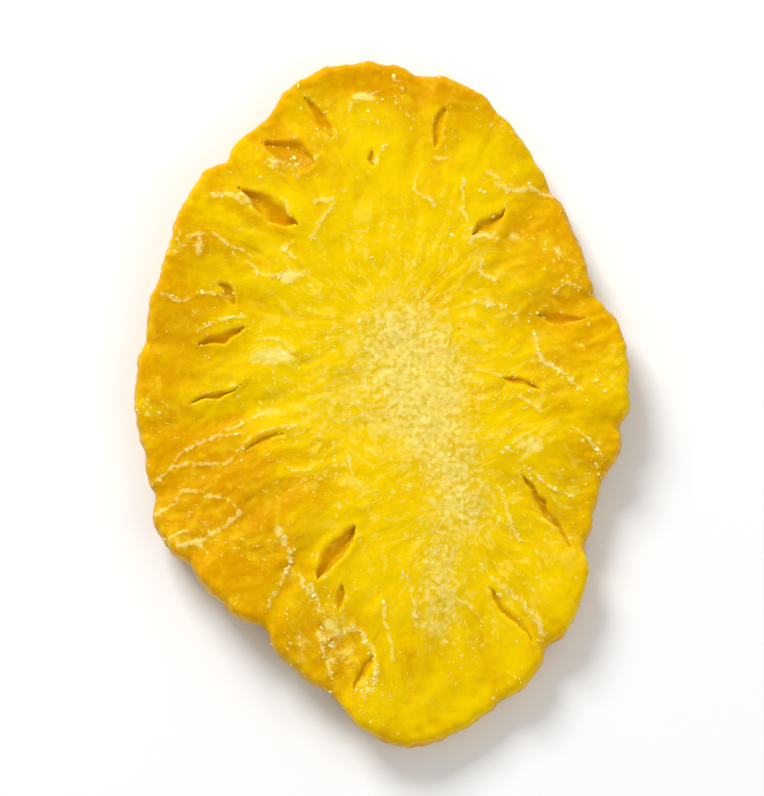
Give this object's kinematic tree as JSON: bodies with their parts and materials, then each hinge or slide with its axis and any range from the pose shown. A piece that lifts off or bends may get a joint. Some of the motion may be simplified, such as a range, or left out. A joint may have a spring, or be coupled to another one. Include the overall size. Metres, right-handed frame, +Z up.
{
  "type": "dried pineapple slice",
  "caption": "Whole dried pineapple slice with its core left in: an oval, gently curled disc with a crinkled, lobed rim and leaf-shaped eye slits in both faces.",
  "frame": {"origin": "centre of the bounding box at the level of the surface that the slice lies on", "axes": "+Z up out of the face that shows in the picture, +Y along the slice's length, towards the end that is uppermost in the picture, and +X to the right in the picture"},
  "size_m": [0.0652, 0.0915, 0.0093],
  "materials": {
    "flesh": "satin"
  },
  "bodies": {
    "root": {"pineapple_ring": "flesh"}
  },
  "joints": []
}
